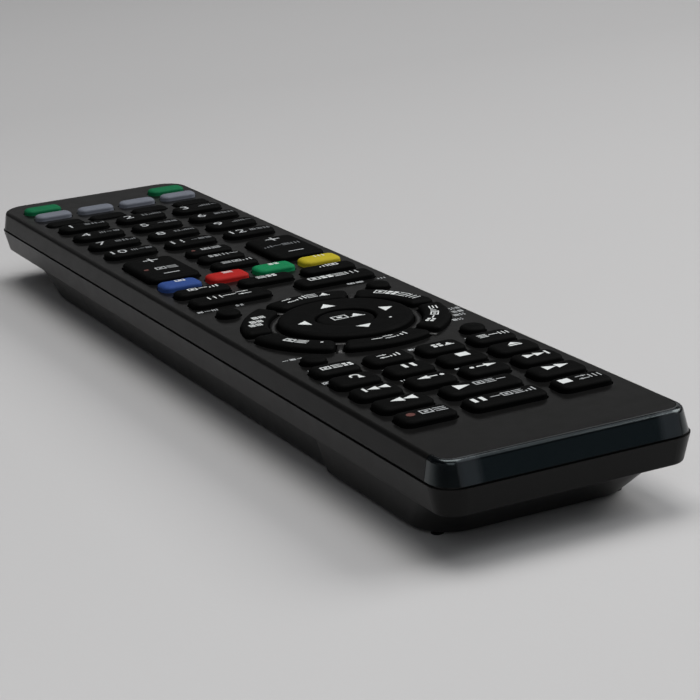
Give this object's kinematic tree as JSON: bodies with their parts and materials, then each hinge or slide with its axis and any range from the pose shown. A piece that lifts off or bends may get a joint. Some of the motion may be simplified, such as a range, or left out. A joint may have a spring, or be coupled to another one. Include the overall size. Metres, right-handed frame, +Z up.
{
  "type": "blu-ray remote control",
  "caption": "Slim flat remote control with soft rubber keys, a navigation disc ringed by curved keys, a smoked end window and a slide-off battery door.",
  "frame": {"origin": "middle of the footprint, on the surface that the remote control lies on", "axes": "+X across the key face to the right, +Y along it from the near end to the power keys, +Z up out of the key face"},
  "size_m": [0.0522, 0.2408, 0.0202],
  "materials": {
    "shell": "fine-grained satin moulding",
    "key_rubber": "matte silicone",
    "key_blue": "matte silicone",
    "key_red": "matte silicone",
    "key_green": "matte silicone",
    "key_yellow": "matte silicone",
    "key_light": "matte silicone",
    "key_power": "matte silicone",
    "smoked_window": "polished smoked acrylic",
    "board": "solder-masked laminate",
    "mat_rubber": "matte silicone",
    "lamp_epoxy": "clear epoxy",
    "cell_jacket": "printed sleeve with bare ends",
    "contact_steel": "nickel-plated spring steel",
    "screw_steel": "zinc-plated steel"
  },
  "bodies": {
    "housing": {"top_case": "shell", "bottom_case": "shell", "end_window": "smoked_window", "ir_window": "smoked_window", "circuit_board": "board", "keypad_mat": "mat_rubber", "ir_lamp": "lamp_epoxy", "batteries": "cell_jacket", "battery_contacts": "contact_steel", "case_screws": "screw_steel"},
    "battery_door": {"battery_door": "shell"},
    "nav_seat": {"nav_seat": "mat_rubber"},
    "record_key": {"record_key": "key_rubber"},
    "pause_key": {"pause_key": "key_rubber"},
    "stop_key": {"stop_key": "key_rubber"},
    "rewind_key": {"rewind_key": "key_rubber"},
    "play_key": {"play_key": "key_rubber"},
    "forward_key": {"forward_key": "key_rubber"},
    "previous_key": {"previous_key": "key_rubber"},
    "replay_key": {"replay_key": "key_rubber"},
    "skip_key": {"skip_key": "key_rubber"},
    "next_key": {"next_key": "key_rubber"},
    "loop_key": {"loop_key": "key_rubber"},
    "deck_pause_key": {"deck_pause_key": "key_rubber"},
    "deck_stop_key": {"deck_stop_key": "key_rubber"},
    "eject_key": {"eject_key": "key_rubber"},
    "option_keys": {"option_keys": "key_rubber"},
    "middle_keys": {"middle_keys": "key_rubber"},
    "low_keys": {"low_keys": "key_rubber"},
    "menu_keys": {"menu_keys": "key_rubber"},
    "round_keys": {"round_keys": "key_rubber"},
    "centre_key": {"centre_key": "key_rubber"},
    "number_1_key": {"number_1_key": "key_rubber"},
    "number_2_key": {"number_2_key": "key_rubber"},
    "number_3_key": {"number_3_key": "key_rubber"},
    "number_4_key": {"number_4_key": "key_rubber"},
    "number_5_key": {"number_5_key": "key_rubber"},
    "number_6_key": {"number_6_key": "key_rubber"},
    "number_7_key": {"number_7_key": "key_rubber"},
    "number_8_key": {"number_8_key": "key_rubber"},
    "number_9_key": {"number_9_key": "key_rubber"},
    "number_10_key": {"number_10_key": "key_rubber"},
    "number_11_key": {"number_11_key": "key_rubber"},
    "number_12_key": {"number_12_key": "key_rubber"},
    "ring_key_1": {"ring_key_1": "key_rubber"},
    "ring_key_2": {"ring_key_2": "key_rubber"},
    "ring_key_3": {"ring_key_3": "key_rubber"},
    "ring_key_4": {"ring_key_4": "key_rubber"},
    "ring_key_5": {"ring_key_5": "key_rubber"},
    "ring_key_6": {"ring_key_6": "key_rubber"},
    "blue_key": {"blue_key": "key_blue"},
    "red_key": {"red_key": "key_red"},
    "green_key": {"green_key": "key_green"},
    "yellow_key": {"yellow_key": "key_yellow"},
    "light_keys": {"light_keys": "key_light"},
    "power_left_key": {"power_left_key": "key_power"},
    "power_right_key": {"power_right_key": "key_power"},
    "rocker_left": {"rocker_left": "key_rubber"},
    "rocker_right": {"rocker_right": "key_rubber"},
    "nav_disc": {"nav_disc": "key_rubber"}
  },
  "joints": [
    {"name": "record_key_press", "type": "slide", "parent": "housing", "child": "record_key", "axis": [0, 0, -1], "range_m": [0, 0.0008], "stiffness_N_per_m": 1500},
    {"name": "pause_key_press", "type": "slide", "parent": "housing", "child": "pause_key", "axis": [0, 0, -1], "range_m": [0, 0.0008], "stiffness_N_per_m": 1500},
    {"name": "stop_key_press", "type": "slide", "parent": "housing", "child": "stop_key", "axis": [0, 0, -1], "range_m": [0, 0.0008], "stiffness_N_per_m": 1500},
    {"name": "rewind_key_press", "type": "slide", "parent": "housing", "child": "rewind_key", "axis": [0, 0, -1], "range_m": [0, 0.0008], "stiffness_N_per_m": 1500},
    {"name": "play_key_press", "type": "slide", "parent": "housing", "child": "play_key", "axis": [0, 0, -1], "range_m": [0, 0.0008], "stiffness_N_per_m": 1500},
    {"name": "forward_key_press", "type": "slide", "parent": "housing", "child": "forward_key", "axis": [0, 0, -1], "range_m": [0, 0.0008], "stiffness_N_per_m": 1500},
    {"name": "previous_key_press", "type": "slide", "parent": "housing", "child": "previous_key", "axis": [0, 0, -1], "range_m": [0, 0.0008], "stiffness_N_per_m": 1500},
    {"name": "replay_key_press", "type": "slide", "parent": "housing", "child": "replay_key", "axis": [0, 0, -1], "range_m": [0, 0.0008], "stiffness_N_per_m": 1500},
    {"name": "skip_key_press", "type": "slide", "parent": "housing", "child": "skip_key", "axis": [0, 0, -1], "range_m": [0, 0.0008], "stiffness_N_per_m": 1500},
    {"name": "next_key_press", "type": "slide", "parent": "housing", "child": "next_key", "axis": [0, 0, -1], "range_m": [0, 0.0008], "stiffness_N_per_m": 1500},
    {"name": "loop_key_press", "type": "slide", "parent": "housing", "child": "loop_key", "axis": [0, 0, -1], "range_m": [0, 0.0008], "stiffness_N_per_m": 1500},
    {"name": "deck_pause_key_press", "type": "slide", "parent": "housing", "child": "deck_pause_key", "axis": [0, 0, -1], "range_m": [0, 0.0008], "stiffness_N_per_m": 1500},
    {"name": "deck_stop_key_press", "type": "slide", "parent": "housing", "child": "deck_stop_key", "axis": [0, 0, -1], "range_m": [0, 0.0008], "stiffness_N_per_m": 1500},
    {"name": "eject_key_press", "type": "slide", "parent": "housing", "child": "eject_key", "axis": [0, 0, -1], "range_m": [0, 0.0008], "stiffness_N_per_m": 1500},
    {"name": "option_keys_press", "type": "slide", "parent": "housing", "child": "option_keys", "axis": [0, 0, -1], "range_m": [0, 0.0008], "stiffness_N_per_m": 1500},
    {"name": "middle_keys_press", "type": "slide", "parent": "housing", "child": "middle_keys", "axis": [0, 0, -1], "range_m": [0, 0.0008], "stiffness_N_per_m": 1500},
    {"name": "low_keys_press", "type": "slide", "parent": "housing", "child": "low_keys", "axis": [0, 0, -1], "range_m": [0, 0.0008], "stiffness_N_per_m": 1500},
    {"name": "menu_keys_press", "type": "slide", "parent": "housing", "child": "menu_keys", "axis": [0, 0, -1], "range_m": [0, 0.0008], "stiffness_N_per_m": 1500},
    {"name": "round_keys_press", "type": "slide", "parent": "housing", "child": "round_keys", "axis": [0, 0, -1], "range_m": [0, 0.0008], "stiffness_N_per_m": 1500},
    {"name": "centre_key_press", "type": "slide", "parent": "housing", "child": "centre_key", "axis": [0, 0, -1], "range_m": [0, 0.0008], "stiffness_N_per_m": 1500},
    {"name": "number_1_key_press", "type": "slide", "parent": "housing", "child": "number_1_key", "axis": [0, 0, -1], "range_m": [0, 0.0008], "stiffness_N_per_m": 1500},
    {"name": "number_2_key_press", "type": "slide", "parent": "housing", "child": "number_2_key", "axis": [0, 0, -1], "range_m": [0, 0.0008], "stiffness_N_per_m": 1500},
    {"name": "number_3_key_press", "type": "slide", "parent": "housing", "child": "number_3_key", "axis": [0, 0, -1], "range_m": [0, 0.0008], "stiffness_N_per_m": 1500},
    {"name": "number_4_key_press", "type": "slide", "parent": "housing", "child": "number_4_key", "axis": [0, 0, -1], "range_m": [0, 0.0008], "stiffness_N_per_m": 1500},
    {"name": "number_5_key_press", "type": "slide", "parent": "housing", "child": "number_5_key", "axis": [0, 0, -1], "range_m": [0, 0.0008], "stiffness_N_per_m": 1500},
    {"name": "number_6_key_press", "type": "slide", "parent": "housing", "child": "number_6_key", "axis": [0, 0, -1], "range_m": [0, 0.0008], "stiffness_N_per_m": 1500},
    {"name": "number_7_key_press", "type": "slide", "parent": "housing", "child": "number_7_key", "axis": [0, 0, -1], "range_m": [0, 0.0008], "stiffness_N_per_m": 1500},
    {"name": "number_8_key_press", "type": "slide", "parent": "housing", "child": "number_8_key", "axis": [0, 0, -1], "range_m": [0, 0.0008], "stiffness_N_per_m": 1500},
    {"name": "number_9_key_press", "type": "slide", "parent": "housing", "child": "number_9_key", "axis": [0, 0, -1], "range_m": [0, 0.0008], "stiffness_N_per_m": 1500},
    {"name": "number_10_key_press", "type": "slide", "parent": "housing", "child": "number_10_key", "axis": [0, 0, -1], "range_m": [0, 0.0008], "stiffness_N_per_m": 1500},
    {"name": "number_11_key_press", "type": "slide", "parent": "housing", "child": "number_11_key", "axis": [0, 0, -1], "range_m": [0, 0.0008], "stiffness_N_per_m": 1500},
    {"name": "number_12_key_press", "type": "slide", "parent": "housing", "child": "number_12_key", "axis": [0, 0, -1], "range_m": [0, 0.0008], "stiffness_N_per_m": 1500},
    {"name": "ring_key_1_press", "type": "slide", "parent": "housing", "child": "ring_key_1", "axis": [0, 0, -1], "range_m": [0, 0.0008], "stiffness_N_per_m": 1500},
    {"name": "ring_key_2_press", "type": "slide", "parent": "housing", "child": "ring_key_2", "axis": [0, 0, -1], "range_m": [0, 0.0008], "stiffness_N_per_m": 1500},
    {"name": "ring_key_3_press", "type": "slide", "parent": "housing", "child": "ring_key_3", "axis": [0, 0, -1], "range_m": [0, 0.0008], "stiffness_N_per_m": 1500},
    {"name": "ring_key_4_press", "type": "slide", "parent": "housing", "child": "ring_key_4", "axis": [0, 0, -1], "range_m": [0, 0.0008], "stiffness_N_per_m": 1500},
    {"name": "ring_key_5_press", "type": "slide", "parent": "housing", "child": "ring_key_5", "axis": [0, 0, -1], "range_m": [0, 0.0008], "stiffness_N_per_m": 1500},
    {"name": "ring_key_6_press", "type": "slide", "parent": "housing", "child": "ring_key_6", "axis": [0, 0, -1], "range_m": [0, 0.0008], "stiffness_N_per_m": 1500},
    {"name": "blue_key_press", "type": "slide", "parent": "housing", "child": "blue_key", "axis": [0, 0, -1], "range_m": [0, 0.0008], "stiffness_N_per_m": 1500},
    {"name": "red_key_press", "type": "slide", "parent": "housing", "child": "red_key", "axis": [0, 0, -1], "range_m": [0, 0.0008], "stiffness_N_per_m": 1500},
    {"name": "green_key_press", "type": "slide", "parent": "housing", "child": "green_key", "axis": [0, 0, -1], "range_m": [0, 0.0008], "stiffness_N_per_m": 1500},
    {"name": "yellow_key_press", "type": "slide", "parent": "housing", "child": "yellow_key", "axis": [0, 0, -1], "range_m": [0, 0.0008], "stiffness_N_per_m": 1500},
    {"name": "light_keys_press", "type": "slide", "parent": "housing", "child": "light_keys", "axis": [0, 0, -1], "range_m": [0, 0.0008], "stiffness_N_per_m": 1500},
    {"name": "power_left_key_press", "type": "slide", "parent": "housing", "child": "power_left_key", "axis": [0, 0, -1], "range_m": [0, 0.0008], "stiffness_N_per_m": 1500},
    {"name": "power_right_key_press", "type": "slide", "parent": "housing", "child": "power_right_key", "axis": [0, 0, -1], "range_m": [0, 0.0008], "stiffness_N_per_m": 1500},
    {"name": "rocker_left_rock", "type": "hinge", "parent": "housing", "child": "rocker_left", "pos_m": [-0.01545, 0.02955, 0.0156], "axis": [1, 0, 0], "range_deg": [-3, 3], "stiffness_Nm_per_rad": 0.25},
    {"name": "rocker_right_rock", "type": "hinge", "parent": "housing", "child": "rocker_right", "pos_m": [0.01545, 0.02955, 0.0156], "axis": [1, 0, 0], "range_deg": [-3, 3], "stiffness_Nm_per_rad": 0.25},
    {"name": "nav_fore_aft", "type": "hinge", "parent": "housing", "child": "nav_seat", "pos_m": [0, -0.03355, 0.0156], "axis": [1, 0, 0], "range_deg": [-2, 2], "stiffness_Nm_per_rad": 0.4},
    {"name": "nav_left_right", "type": "hinge", "parent": "nav_seat", "child": "nav_disc", "pos_m": [0, -0.03355, 0.0156], "axis": [0, 1, 0], "range_deg": [-2, 2], "stiffness_Nm_per_rad": 0.4},
    {"name": "door_slide", "type": "slide", "parent": "housing", "child": "battery_door", "axis": [0, -1, 0], "range_m": [0, 0.048]}
  ]
}
